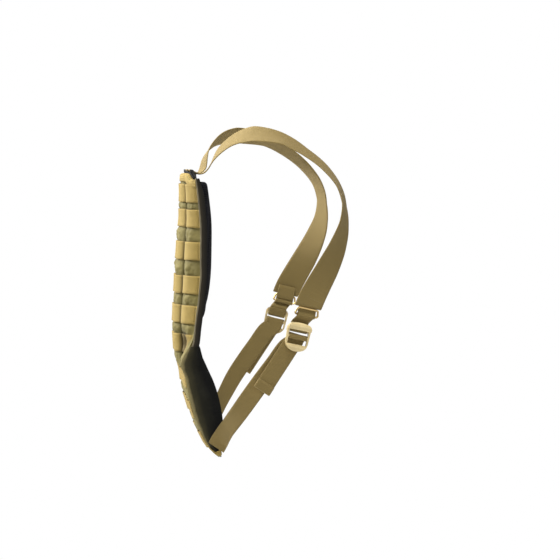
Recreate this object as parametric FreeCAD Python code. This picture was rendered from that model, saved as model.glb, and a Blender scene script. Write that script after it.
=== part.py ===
"""Slim back pack carried on two webbing shoulder straps, in the shape it takes when it is worn.

Frame: +X is the wearer's forward, +Y the wearer's left, +Z up, in millimetres. The origin is on the
middle plane, level with the tops of the shoulder straps. The pouch hangs behind the back, on -X.
The right-hand pieces are modelled and the left-hand ones are their mirror images in the plane Y = 0.
"""
import FreeCAD, Part

import math
import os

V = FreeCAD.Vector
MIRROR_POINT = V(0, 0, 0)
MIRROR_NORMAL = V(0, 1, 0)

# ---------------------------------------------------------------- driving sizes, millimetres
# Pouch: an outer shell that bulges away from the back, a flat inner panel, a pad against the back.
half_width = 80.0           # half the width of shell and inner panel
top_z = -54.0               # top edge of the shell
bottom_z = -456.0           # bottom edge of the shell
shell_wall = 2.0            # coated fabric with its lining
inner_wall = 1.8
inner_rise = 5.0            # how far the inner panel stands above the shell
seam = 0.3                  # clearance between sewn layers
level_step = 10.0           # the pouch's layers are straight between heights this far apart
sheet_spans = 4             # flat spans from a layer's middle to its side edge
flat_enough = 1e-7          # four corners this near a plane make one flat face
pad_margin = 5.0            # pad edge to panel edge
pad_top_drop = 5.0          # pad top below the shell's top
pad_bottom_z = -281.0
binding_wide = 9.0
binding_thick = 2.0
binding_proud = 1.0         # how far it stands behind the shell's outer face
binding_end_z = -298.0      # the edge binding stops here and the side gusset starts
gusset_thick = 1.5
gusset_end_rise = 6.0       # gusset ends above the bottom edge
hem_front = 10.5            # height of the bottom hem on the outer face
hem_back = 3.0
hem_thick = 1.5
mouth_tape_tall = 8.0       # tape folded over the mouth edge of the shell
mouth_tape_thick = 1.0

# Load-carrying webbing grid on the shell.
# Top edge of each row, along the shell from its top. The fabric between them is gathered unevenly.
ROW_STARTS = [14.0, 50.0, 97.0, 145.0, 188.0, 229.0, 279.0, 324.0, 370.0]
row_tall = 25.4
row_thick = 1.4
column_count = 4
column_pitch = 38.1
row_bulge = 3.2             # how far each loop stands off the shell between its tacks
loop_spans = 6              # flat spans in each loop

# Webbing of the harness.
wide_web = 38.0
narrow_web = 25.4
web_thick = 1.5
web_step = 6.0              # the webbing is straight between stations about this far apart

# Shoulder strap anchor at the pouch mouth.
strap_spacing = 90.0        # between the two straps' centre lines at the pouch
anchor_depth = 16.0         # how far the strap is sewn down inside the mouth
strap_dip = 3.4             # the strap's sag below the panel's edge, before it rises over the shoulder

# Wire ring at the end of the shoulder strap.
ring_wire = 2.8
ring_top_half = 14.3        # half of the top bar, to the corner point of the wire's centre line
ring_base_half = 17.4
ring_drop = 9.5             # top bar down to base bar
ring_corner = 2.4           # bend radius of the wire's centre line
ring_play = 0.15            # clearance between wire and keeper
wire_sides = 16             # the wire's outline
bend_spans = 3              # straight spans in each bend of the wire
keeper_wide = 25.4
keeper_tall = 24.0          # from the base bar up behind the strap's end

# Ladder lock.
lock_half_width = 17.2
lock_half_height = 20.3
lock_rail = 3.5             # thickness of the side rails
lock_window_half = 14.0     # half width of the two slots
lock_window_top = 9.8
lock_window_base = -10.3
lock_bar_radius = 2.2       # middle bar
lock_pin_radius = 1.6       # recessed pin that the short web is sewn round
lock_pin_y = 9.5
lock_pin_z = -3.0
lock_crown_radius = 7.0     # rounded front of the top bar
lock_tab_radius = 6.2       # rounded front of the thumb tab
lock_back_z = -2.0          # back face of the rails
lock_below_ring = 41.1      # ring bar to lock centre, down the strap
lock_aside = -7.1           # lock centre beside the ring's middle
lock_proud = 3.0            # lock plane in front of the ring frame

# Lower strap: sewn to the inner panel at this height.
lower_strap_z = -441.5      # the lower strap ends here, sewn on the gusset

# Free tail of the lower strap.
tail_length = 89.0
tail_fold = 12.0            # last stretch, folded back on itself and sewn
tail_turn = 20.3            # degrees, from the lock's axis towards the back
tail_lean = 4.5             # degrees, in towards the body
tail_gap = 5.0              # tail centre plane behind the lock plane
load_gap = 8.0              # load strap centre plane behind the lock plane

# ---------------------------------------------------------------- shape of the pouch
# Each profile is (height, value). The shell's middle line and how far its side edges lie forward of it,
# the gap from shell edge to inner panel, the bow of the inner panel, and the pad's thickness.
SHELL_LINE = [
    (top_z, -98.0), (-110, -98.5), (-160, -103.5), (-220, -107.0), (-285, -109.0), (-315, -106.0),
    (-335, -100.5), (-368, -94.0), (-402, -84.0), (-436, -70.0), (bottom_z, -52.0),
]
SHELL_BOW = [
    (top_z, 13.0), (-110, 19.5), (-160, 25.5), (-205, 28.0), (-250, 25.0), (-290, 21.0), (-315, 10.0),
    (-335, 0.5), (-368, -2.0), (-402, -2.0), (-436, 0.0), (bottom_z, 0.0),
]
PANEL_GAPE = [
    (top_z, 0.4), (-284, 0.4), (-307, 11.0), (-334, 29.0), (-371, 38.0), (-403, 34.0), (-425, 18.6),
    (-437, 10.9), (-450, 2.0), (bottom_z, 0.4),
]
PANEL_BOW = [(top_z + inner_rise, 6.0), (-110, 1.5), (-160, 0.0), (bottom_z, 0.0)]
PAD_THICK = [(top_z, 15.0), (-110, 13.0), (-190, 11.0), (-235, 8.0), (pad_bottom_z, 5.0)]


def graded(profile, z):
    """Value of a profile at height z: a smooth curve through its points that never overshoots."""
    heights = [-p[0] for p in profile]
    values = [p[1] for p in profile]
    t = min(max(-z, heights[0]), heights[-1])
    k = max(i for i in range(len(heights) - 1) if heights[i] <= t or i == 0)
    slopes = [(values[i + 1] - values[i]) / (heights[i + 1] - heights[i]) for i in range(len(heights) - 1)]

    def tangent(i):
        if i == 0:
            return slopes[0]
        if i == len(slopes):
            return slopes[-1]
        before, after = slopes[i - 1], slopes[i]
        return 0.0 if before * after <= 0 else 2.0 * before * after / (before + after)

    span = heights[k + 1] - heights[k]
    u = (t - heights[k]) / span
    m0, m1 = tangent(k) * span, tangent(k + 1) * span
    return (
        values[k] * (1 + 2 * u) * (1 - u) ** 2
        + m0 * u * (1 - u) ** 2
        + values[k + 1] * u * u * (3 - 2 * u)
        + m1 * u * u * (u - 1)
    )


def levelled(profile, z):
    """Profile value at z, straight between the common levels that every pouch layer shares."""
    above = top_z + level_step * math.ceil((z - top_z) / level_step)
    share = (above - z) / level_step
    return graded(profile, above) * (1 - share) + graded(profile, above - level_step) * share


def levels(start, end):
    """Heights from start down to end, with the common levels in between."""
    count = math.ceil((top_z + inner_rise - bottom_z) / level_step) + 1
    common = [top_z + level_step * (1 - k) for k in range(count + 1)]
    return [start] + [z for z in common if end + 0.5 < z < start - 0.5] + [end]


def shell_x(z, y):
    """Outer face of the shell."""
    return levelled(SHELL_LINE, z) + levelled(SHELL_BOW, z) * (y / half_width) ** 2


def panel_x(z, y):
    """Pouch-side face of the inner panel."""
    edge = shell_x(z, half_width) + shell_wall + levelled(PANEL_GAPE, z)
    return edge + levelled(PANEL_BOW, z) * ((y / half_width) ** 2 - 1)


def shell_point(z, y, lift):
    """A point that stands off the shell's outer face by lift."""
    slope = 2 * levelled(SHELL_BOW, z) * y / half_width**2
    length = math.hypot(1.0, slope)
    return V(shell_x(z, y) - lift / length, y + lift * slope / length, z)


def height_along_shell(distance):
    """Height of the point that lies this far down the shell's middle line."""
    step = 1.0
    z = top_z
    while distance > 0:
        rise = shell_x(z - step, 0) - shell_x(z, 0)
        z -= step * min(1.0, distance / math.hypot(step, rise))
        distance -= math.hypot(step, rise)
    return z


# ---------------------------------------------------------------- solids from sections
def flat_faces(a, b, c, d):
    """One face where the four corners lie in a plane, otherwise two triangles."""
    tilt = abs((b - a).cross(c - a).normalize().dot(d - a))
    outlines = [(a, b, c, d)] if tilt < flat_enough else [(a, b, c), (a, c, d)]
    return [Part.Face(Part.makePolygon([*corners, corners[0]])) for corners in outlines]


def stacked(sections, closed=False):
    """Solid through outlines of equally many corners, capped at both ends or closed on itself."""
    faces = []
    following = sections[1:] + (sections[:1] if closed else [])
    for one, other in zip(sections, following):
        for i in range(len(one)):
            corners = [one[i - 1], one[i], other[i], other[i - 1]]
            # Both faces of a thin layer are split along the same diagonal.
            if i >= len(one) / 2:
                corners = corners[1:] + corners[:1]
            faces += flat_faces(*corners)
    if not closed:
        faces += [Part.Face(Part.makePolygon(end + end[:1])) for end in (sections[0], sections[-1])]
    shell = Part.makeShell(faces)
    shell.sewShape()
    solid = Part.makeSolid(shell)
    if solid.Volume < 0:
        solid.reverse()
    return solid.removeSplitter()


def extruded(outline, start, end):
    """Prism of an outline that lies in the middle plane, from one distance beside it to another."""
    face = Part.Face(Part.makePolygon(outline + outline[:1]))
    face.translate(V(0, start, 0))
    return face.extrude(V(0, end - start, 0))


def sheet(back, front, reach, start, end):
    """Panel between two faces that cross the pouch, out to reach on both sides."""
    across = [reach * k / sheet_spans for k in range(-sheet_spans, sheet_spans + 1)]
    sections = []
    for z in levels(start, end):
        rear = [V(back(z, y), y, z) for y in across]
        fore = [V(front(z, y), y, z) for y in across]
        sections.append(rear + fore[::-1])
    return stacked(sections)


def side_strip(back, front, start, end, inside, outside):
    """Strip along the right side edge, between two distances from the middle plane."""
    heights = levels(start, end)
    outline = [V(back(z), 0, z) for z in heights] + [V(front(z), 0, z) for z in heights[::-1]]
    return extruded(outline, inside, outside)


def web_section(centre, side, out, width, thick):
    a, b = side * (width / 2), out * (thick / 2)
    return [centre - a - b, centre + a - b, centre + a + b, centre - a + b]


def resampled(stations):
    """The same run with closer stations: a smooth curve through the centres, with the normals blended."""
    centres = [s[0] for s in stations]
    curve = Part.BSplineCurve()
    curve.interpolate(centres)
    spots = [curve.parameter(c) for c in centres]
    closer = []
    for i, (centre, normal) in enumerate(s[:2] for s in stations[:-1]):
        count = max(1, round((centres[i + 1] - centre).Length / web_step))
        for share in (k / count for k in range(count)):
            spot = spots[i] * (1 - share) + spots[i + 1] * share
            closer.append((curve.value(spot), normal * (1 - share) + stations[i + 1][1] * share))
    return closer + stations[-1:]


def ribbon(stations, width, thick):
    """Webbing along stations of (centre, outward normal, optional width direction)."""
    centres = [s[0] for s in stations]
    sections = []
    for i, station in enumerate(stations):
        ahead = centres[min(i + 1, len(centres) - 1)]
        behind = centres[max(i - 1, 0)]
        along = (ahead - behind).normalize()
        normal = station[1]
        side = along.cross(normal).normalize()
        out = side.cross(along)
        if len(station) > 2:
            side = station[2] if station[2].dot(side) > 0 else -station[2]
            out = normal - side * normal.dot(side)
        sections.append(web_section(centres[i], side, out.normalize(), width, thick))
    return stacked(sections)


# ---------------------------------------------------------------- pouch
def outer_shell():
    return sheet(shell_x, lambda z, y: shell_x(z, y) + shell_wall, half_width, top_z, bottom_z)


def inner_panel():
    return sheet(
        panel_x, lambda z, y: panel_x(z, y) + inner_wall, half_width, top_z + inner_rise, bottom_z
    )


def back_pad():
    def against_panel(z, y):
        return panel_x(z, y) + inner_wall + seam

    def against_back(z, y):
        crown = 1 - 0.35 * (y / half_width) ** 4
        return against_panel(z, y) + graded(PAD_THICK, z) * crown

    return sheet(against_panel, against_back, half_width - pad_margin, top_z - pad_top_drop, pad_bottom_z)


def edge_binding():
    inside = -(half_width + seam)
    return side_strip(
        lambda z: shell_x(z, half_width) - binding_proud,
        lambda z: shell_x(z, half_width) - binding_proud + binding_wide,
        top_z, binding_end_z, inside, inside - binding_thick,
    )


def side_gusset():
    inside = -(half_width + seam)
    return side_strip(
        lambda z: shell_x(z, half_width),
        lambda z: panel_x(z, half_width) + inner_wall,
        binding_end_z - seam, bottom_z + gusset_end_rise, inside, inside - gusset_thick,
    )


def mouth_tape():
    return sheet(
        lambda z, y: shell_x(z, y) - seam - mouth_tape_thick,
        lambda z, y: shell_x(z, y) - seam,
        half_width, top_z, top_z - mouth_tape_tall,
    )


def bottom_hem():
    """Webbing folded up over the bottom edge: tall on the outer face, short on the inner one."""
    rear = [V(shell_x(z, 0) - seam, 0, z) for z in levels(bottom_z + hem_front, bottom_z)]
    fore = [V(panel_x(z, 0) + inner_wall + seam, 0, z) for z in (bottom_z, bottom_z + hem_back)]
    floor = [V(rear[-1].x, 0, bottom_z - seam), V(fore[0].x, 0, bottom_z - seam)]
    inside = rear + floor + fore
    outside = (
        [p - V(hem_thick, 0, 0) for p in rear]
        + [floor[0] - V(hem_thick, 0, hem_thick), floor[1] + V(hem_thick, 0, -hem_thick)]
        + [p + V(hem_thick, 0, 0) for p in fore]
    )
    return extruded(inside + outside[::-1], -half_width, half_width)


def webbing_row(first):
    """One row of loops: tacked down at each column line and standing off between them."""
    spans = column_count * loop_spans

    def face(z, lift):
        points = []
        for k in range(spans + 1):
            share = 2 * (k % loop_spans) / loop_spans - 1
            y = column_pitch * (k / loop_spans - column_count / 2)
            points.append(shell_point(z, y, lift + row_bulge * (1 - share**2)))
        return points

    heights = levels(height_along_shell(first), height_along_shell(first + row_tall))
    return stacked([face(z, seam) + face(z, seam + row_thick)[::-1] for z in heights])


# ---------------------------------------------------------------- ring frame: where strap, ring and lock meet
ring_origin = V(65.9, -159.0, -240.5)
ring_out = V(0.2, -0.98, 0.0).normalize()
ring_side = V(0.955, 0.195, -0.221)
ring_side = (ring_side - ring_out * ring_side.dot(ring_out)).normalize()
ring_up = ring_out.cross(ring_side)


def at_ring(x, y, z):
    """World point from ring frame coordinates: across, up the strap, out from the body."""
    return ring_origin + ring_side * x + ring_up * y + ring_out * z


def at_lock(x, y, z):
    return at_ring(lock_aside + x, -lock_below_ring + y, lock_proud + z)


def place(shape, origin):
    """Moves a shape modelled about zero to a point of the ring frame."""
    matrix = FreeCAD.Matrix(
        ring_side.x, ring_up.x, ring_out.x, origin.x,
        ring_side.y, ring_up.y, ring_out.y, origin.y,
        ring_side.z, ring_up.z, ring_out.z, origin.z,
    )
    moved = shape.copy()
    moved.Placement = FreeCAD.Placement(matrix)
    return moved


# ---------------------------------------------------------------- shoulder strap
strap_y = -strap_spacing / 2
front_ply = 0.95                          # centre of the strap's end ply in the ring frame
back_ply = front_ply - 2 * web_thick - 2 * seam
middle_ply = (front_ply + back_ply) / 2
ring_top_z = middle_ply + web_thick / 2 + seam + ring_wire / 2 + 0.3
strap_end_y = ring_wire / 2 + 0.8

# Over the shoulder and down the side of the chest: (x, y, z) and the way the webbing faces.
OVER_SHOULDER = [
    ((-65, -48, -45), (-0.60, -0.05, 0.75)),
    ((-53, -58, -24), (-0.66, -0.18, 0.70)),
    ((-31, -76, -5), (-0.40, -0.40, 0.82)),
    ((-10, -92, 2), (-0.12, -0.60, 0.79)),
    ((11, -104, 1), (0.14, -0.58, 0.80)),
    ((38, -112, -6), (0.36, -0.43, 0.83)),
    ((66, -119, -23), (0.60, -0.36, 0.71)),
    ((93, -126, -45), (0.78, -0.32, 0.54)),
    ((112, -132, -71), (0.93, -0.27, 0.25)),
    ((119, -136, -97), (0.97, -0.26, 0.02)),
    ((118, -141, -124), (0.90, -0.44, -0.05)),
    ((109, -147, -153), (0.72, -0.69, -0.08)),
    ((95, -152, -182), (0.50, -0.86, -0.05)),
    ((81, -156, -207), (0.36, -0.93, 0.00)),
]


def shoulder_strap():
    """Sewn end inside the pouch mouth, a turn over the panel's edge, then the run over the shoulder."""
    crest = top_z + inner_rise
    tilt = (panel_x(crest, strap_y + 1) - panel_x(crest, strap_y - 1)) / 2
    across = V(tilt, 1, 0).normalize()
    lift = web_thick / 2 + seam

    def at_crest(x, z, normal_x, normal_z):
        normal = V(normal_x, 0, normal_z)
        return V(panel_x(crest, strap_y) + x, strap_y, crest + z), normal, across

    foot = crest - anchor_depth
    sewn = [
        (V(panel_x(foot, strap_y) - lift - seam, strap_y, foot), V(-1, 0, 0), across),
        at_crest(-lift - seam, -seam, -1, 0),
        at_crest(-lift + seam, 0.7 * lift, -0.7, 0.7),
        at_crest(0.2 * inner_wall, lift + 0.1, 0, 1),
        at_crest(0.8 * inner_wall, lift + 0.1, 0, 1),
        at_crest(2.2 * inner_wall, lift, 0.35, 0.94),
    ]
    stations = [
        sewn[-1][:2],
        (V(-79.0, strap_y, crest - 0.3 * strap_dip), V(0.3, 0, 0.95)),
        (V(-74.5, strap_y, crest - strap_dip), V(-0.05, 0, 1)),
        (V(-70.0, strap_y - 0.5, crest - 0.3 * strap_dip), V(-0.5, 0, 0.85)),
    ]
    stations += [(V(*p), V(*n).normalize()) for p, n in OVER_SHOULDER]
    stations.append((at_ring(1.5, 15.0, front_ply), ring_out))
    stations.append((at_ring(-1.0, strap_end_y, front_ply), ring_out, ring_side))
    return ribbon(sewn + resampled(stations)[1:], wide_web, web_thick)


def ring_keeper():
    """Short web sewn behind the strap's end, closed round the ring's base bar."""
    bar = V(0, -ring_drop, back_ply)
    inner = ring_wire / 2 + ring_play
    outer = inner + web_thick
    tube = Part.makeCylinder(outer, keeper_wide, V(-keeper_wide / 2, bar.y, bar.z), V(1, 0, 0))
    strip = Part.makeBox(
        keeper_wide, keeper_tall, web_thick, V(-keeper_wide / 2, bar.y, back_ply - web_thick / 2)
    )
    bore = Part.makeCylinder(inner, keeper_wide, V(-keeper_wide / 2, bar.y, bar.z), V(1, 0, 0))
    return place(tube.fuse(strip).cut(bore).removeSplitter(), ring_origin)


def wire_ring():
    """Bent wire ring: its base bar turns in the keeper and its top bar lies over the short web."""
    base = V(0, -ring_drop, back_ply - ring_top_z)
    down = V(base).normalize()
    face = V(1, 0, 0).cross(down)

    def at(x, t):
        return V(x, 0, ring_top_z) + down * t

    corners = [
        at(-ring_top_half, 0), at(ring_top_half, 0),
        at(ring_base_half, base.Length), at(-ring_base_half, base.Length),
    ]
    path = []
    for i, corner in enumerate(corners):
        to_last = (corners[i - 1] - corner).normalize()
        to_next = (corners[(i + 1) % 4] - corner).normalize()
        half_angle = to_last.getAngle(to_next) / 2
        centre = corner + (to_last + to_next).normalize() * (ring_corner / math.sin(half_angle))
        outwards = corner + to_last * (ring_corner / math.tan(half_angle)) - centre
        onwards = -to_last * ring_corner
        for k in range(bend_spans + 1):
            turn = (math.pi - 2 * half_angle) * k / bend_spans
            path.append(centre + outwards * math.cos(turn) + onwards * math.sin(turn))
    sections = []
    for i, point in enumerate(path):
        before = (point - path[i - 1]).normalize()
        after = (path[(i + 1) % len(path)] - point).normalize()
        along = (before + after).normalize()
        across = along.cross(face) / before.dot(along)
        sections.append([
            point + (face * math.cos(a) + across * math.sin(a)) * (ring_wire / 2)
            for a in (2 * math.pi * k / wire_sides for k in range(wire_sides))
        ])
    return place(stacked(sections, closed=True), ring_origin)


def short_web():
    """Narrow web: sewn between strap and keeper, over the base bar, round the lock's pin and back."""
    pin_y = -lock_below_ring + lock_pin_y
    pin_z = lock_proud + lock_pin_z
    radius = lock_pin_radius + 0.2 + web_thick / 2
    over_base = back_ply + ring_wire / 2 + ring_play + web_thick + seam + web_thick / 2 + 0.2
    wrap_start = -32

    drift = [(0, 0), (-ring_drop, 0.12 * lock_aside), (pin_y + 12, 0.85 * lock_aside), (pin_y, lock_aside)]

    line = [(11.0, middle_ply), (2.0, middle_ply), (-2.5, middle_ply + 0.3), (-ring_drop, over_base)]
    line += [(-ring_drop - 3, over_base - 0.6), (-ring_drop - 7, over_base - 3.2), (pin_y + 11, pin_z - 4)]
    line += [
        (pin_y - radius * math.sin(math.radians(a)), pin_z + radius * math.cos(math.radians(a)))
        for a in range(wrap_start, 181, 30)
    ]
    line += [(pin_y + 5, pin_z - 3.1), (pin_y + 8, pin_z - 4.8), (pin_y + 10, pin_z - 6.1)]
    stations = []
    for i, (y, z) in enumerate(line):
        ahead, behind = line[min(i + 1, len(line) - 1)], line[max(i - 1, 0)]
        out = ring_up * -(ahead[1] - behind[1]) + ring_out * (ahead[0] - behind[0])
        stations.append((at_ring(graded(drift, y), y, z), -out, ring_side))
    return ribbon(stations, narrow_web, web_thick)


# ---------------------------------------------------------------- ladder lock
def lock_outline():
    w, h = lock_half_width, lock_half_height
    edges = [
        Part.Arc(V(-w + 8, h - 1, 0), V(0, h, 0), V(w - 8, h - 1, 0)).toShape(),
        Part.Arc(V(w - 8, h - 1, 0), V(w - 2.2, h - 3.4, 0), V(w, h - 9, 0)).toShape(),
        Part.makeLine(V(w, h - 9, 0), V(w - 0.8, -h + 12, 0)),
        Part.Arc(V(w - 0.8, -h + 12, 0), V(w - 4.2, -h + 5, 0), V(w - 10, -h + 1.2, 0)).toShape(),
        Part.Arc(V(w - 10, -h + 1.2, 0), V(0, -h, 0), V(-w + 10, -h + 1.2, 0)).toShape(),
        Part.Arc(V(-w + 10, -h + 1.2, 0), V(-w + 4.2, -h + 5, 0), V(-w + 0.8, -h + 12, 0)).toShape(),
        Part.makeLine(V(-w + 0.8, -h + 12, 0), V(-w, h - 9, 0)),
        Part.Arc(V(-w, h - 9, 0), V(-w + 2.2, h - 3.4, 0), V(-w + 8, h - 1, 0)).toShape(),
    ]
    return Part.Face(Part.Wire(edges))


def lock_prism(low, high):
    prism = lock_outline().extrude(V(0, 0, high - low))
    prism.translate(V(0, 0, low))
    return prism


def x_cylinder(radius, half, y, z):
    return Part.makeCylinder(radius, 2 * half, V(-half, y, z), V(1, 0, 0))


def box_between(x0, x1, y0, y1, z0, z1):
    return Part.makeBox(x1 - x0, y1 - y0, z1 - z0, V(x0, y0, z0))


def ladder_lock():
    """Moulded lock: side rails, rounded top bar over a recessed pin, middle bar and thumb tab."""
    w, h = lock_half_width, lock_half_height
    window = lock_window_half
    face_z = lock_back_z + lock_rail
    web_room = lock_pin_z + lock_pin_radius + 0.2 + web_thick + 0.6
    frame = lock_prism(lock_back_z, face_z)
    frame = frame.cut(box_between(-window, window, lock_window_base, h + 1, -9, 9))

    crown_y = (lock_window_top + h) / 2 - 0.6
    crown = x_cylinder(lock_crown_radius, w, crown_y, lock_pin_z + 1.2)
    crown = crown.common(lock_prism(web_room, lock_crown_radius))
    crown = crown.cut(box_between(-w, w, -h, lock_window_top, -9, 9))

    tab = x_cylinder(lock_tab_radius, w, lock_window_base - 4.7, lock_pin_z)
    tab = tab.common(lock_prism(lock_back_z, lock_tab_radius))
    tab = tab.cut(box_between(-w, w, lock_window_base, h, -9, 9))

    middle = x_cylinder(lock_bar_radius, window + 0.6, 0, 0)
    pin = x_cylinder(lock_pin_radius, window + 1.4, lock_pin_y, lock_pin_z)
    ears = [
        box_between(side * window if side > 0 else -w + 0.5, w - 0.5 if side > 0 else -window,
                    lock_pin_y - 3.4, lock_pin_y + 3.4, lock_pin_z - 2.0, face_z)
        for side in (-1, 1)
    ]
    solid = frame.multiFuse([crown, tab, middle, pin] + ears).removeSplitter()
    return place(solid, at_lock(0, 0, 0))


def lock_wrap():
    """Webbing of the lower strap where it passes up one slot, over the middle bar and down the other."""
    inner = lock_bar_radius + 0.15
    outer = inner + web_thick
    leg = tail_gap - web_thick / 2 - 0.4 - 0.25
    ring = x_cylinder(outer, narrow_web / 2, 0, 0).cut(x_cylinder(inner, narrow_web, 0, 0))
    front = ring.common(box_between(-narrow_web, narrow_web, -outer, outer, 0, outer))
    half = narrow_web / 2
    legs = [box_between(-half, half, y, y + web_thick, -leg, 0) for y in (inner, -outer)]
    return place(front.multiFuse(legs).removeSplitter(), at_lock(0, 0, 0))


# ---------------------------------------------------------------- lower strap and its tail
# From behind the lock, round the side of the waist, towards the pouch's bottom corner.
ROUND_WAIST = [
    ((36, -157, -294), (0.14, -0.99, 0.00)),
    ((20, -156.5, -316), (0.04, -1.00, -0.02)),
    ((3, -154.5, -339), (-0.12, -0.99, -0.04)),
    ((-13, -150, -362), (-0.28, -0.96, -0.06)),
    ((-28, -136, -386), (-0.48, -0.86, -0.08)),
    ((-42.5, -112, -411), (-0.70, -0.70, -0.10)),
]


def lower_strap():
    stations = [(at_lock(0, lock_bar_radius + 1.6, -load_gap), ring_out)]
    stations.append((at_lock(-1.6, -9.0, -load_gap - 0.9), ring_out))
    stations += [(V(*p), V(*n).normalize()) for p, n in ROUND_WAIST]
    side_face = half_width + seam + gusset_thick
    foot = V(panel_x(lower_strap_z, half_width), -(side_face + seam + web_thick / 2), lower_strap_z)
    stations += [
        (foot + V(6.4, -7.5, 13.5), V(-0.50, -0.84, -0.20)),
        (foot + V(3.2, -1.7, 6.8), V(-0.08, -1.00, -0.05)),
        (foot, V(0, -1, 0), V(0.82, 0, -0.57).normalize()),
    ]
    return ribbon(resampled(stations), narrow_web, web_thick)


def strap_tail():
    """Free end in front of the lower strap: a straight run with its last stretch folded double."""
    turn, lean = math.radians(tail_turn), math.radians(tail_lean)
    flat = -ring_side * math.sin(turn) - ring_up * math.cos(turn)
    way = flat * math.cos(lean) - ring_out * math.sin(lean)
    side = flat.cross(ring_out)
    out = side.cross(way)
    start = at_lock(0, 0.5, -tail_gap)
    tip = start + way * tail_length
    fold = tip - way * tail_fold
    single = ribbon([(start, out, side), (tip, out, side)], narrow_web, web_thick)
    doubled = ribbon([(fold, out, side), (tip, out, side)], narrow_web, web_thick)
    doubled.translate(out * web_thick)
    return single.fuse(doubled).removeSplitter()


# ---------------------------------------------------------------- all nodes
def mirrored(shape):
    return shape.mirror(MIRROR_POINT, MIRROR_NORMAL)


def build():
    nodes = {
        "outer_shell": outer_shell(),
        "inner_panel": inner_panel(),
        "back_pad": back_pad(),
        "mouth_tape": mouth_tape(),
        "bottom_hem": bottom_hem(),
    }
    for index, first in enumerate(ROW_STARTS):
        nodes[f"webbing_row_{index + 1}"] = webbing_row(first)
    paired = {
        "edge_binding": edge_binding(),
        "side_gusset": side_gusset(),
        "shoulder_strap": shoulder_strap(),
        "ring_keeper": ring_keeper(),
        "wire_ring": wire_ring(),
        "short_web": short_web(),
        "ladder_lock": ladder_lock(),
        "lock_wrap": lock_wrap(),
        "lower_strap": lower_strap(),
        "strap_tail": strap_tail(),
    }
    for name, shape in paired.items():
        nodes[f"{name}_right"] = shape
        nodes[f"{name}_left"] = mirrored(shape)
    return nodes


os.makedirs("parts", exist_ok=True)
for name, shape in build().items():
    print(name, len(shape.Solids), shape.isValid(), round(shape.Volume))
    shape.exportStep(f"parts/{name}.step")
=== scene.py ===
"""Slim back pack on webbing shoulder straps, as it hangs when worn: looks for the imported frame.

The part's lengths are written in millimetres and turned into metres by MM. The studio's are in
metres. +X is the wearer's forward, +Y the wearer's left and +Z up. The right-hand strap is the one
near the camera.
"""
import math

import bpy
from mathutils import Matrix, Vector, noise
from mathutils.bvhtree import BVHTree


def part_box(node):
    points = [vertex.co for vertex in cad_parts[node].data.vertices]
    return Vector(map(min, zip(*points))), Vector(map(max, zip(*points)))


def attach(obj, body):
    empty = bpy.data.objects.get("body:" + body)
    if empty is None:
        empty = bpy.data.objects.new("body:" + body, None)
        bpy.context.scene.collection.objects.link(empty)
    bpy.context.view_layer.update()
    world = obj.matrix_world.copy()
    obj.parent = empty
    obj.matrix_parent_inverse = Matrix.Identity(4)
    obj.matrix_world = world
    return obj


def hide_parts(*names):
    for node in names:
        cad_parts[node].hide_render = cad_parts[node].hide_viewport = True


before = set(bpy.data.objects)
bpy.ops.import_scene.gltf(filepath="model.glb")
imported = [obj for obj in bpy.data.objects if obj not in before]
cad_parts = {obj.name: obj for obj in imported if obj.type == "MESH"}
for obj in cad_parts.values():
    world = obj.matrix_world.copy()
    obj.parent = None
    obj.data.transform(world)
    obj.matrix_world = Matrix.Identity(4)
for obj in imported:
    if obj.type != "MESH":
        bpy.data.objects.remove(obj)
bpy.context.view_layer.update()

MM = 0.001
HARNESS = "harness"

# ---------------------- camera
VIEW_AZIMUTH = -5.5
VIEW_ELEVATION = 3.0
VIEW_DISTANCE = 3.2
VIEW_TARGET = Vector((42.1, 0.0, -208.3)) * MM
LENS = 140.97


def link(thing):
    bpy.context.scene.collection.objects.link(thing)


def add_camera():
    azimuth, elevation = math.radians(VIEW_AZIMUTH), math.radians(VIEW_ELEVATION)
    away = Vector((
        math.sin(azimuth) * math.cos(elevation),
        -math.cos(azimuth) * math.cos(elevation),
        math.sin(elevation),
    ))
    data = bpy.data.cameras.new("camera")
    data.lens = LENS
    data.sensor_width = 36.0
    camera = bpy.data.objects.new("camera", data)
    link(camera)
    camera.location = VIEW_TARGET + away * VIEW_DISTANCE
    camera.rotation_euler = away.to_track_quat("Z", "Y").to_euler()
    bpy.context.scene.camera = camera


add_camera()


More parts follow.
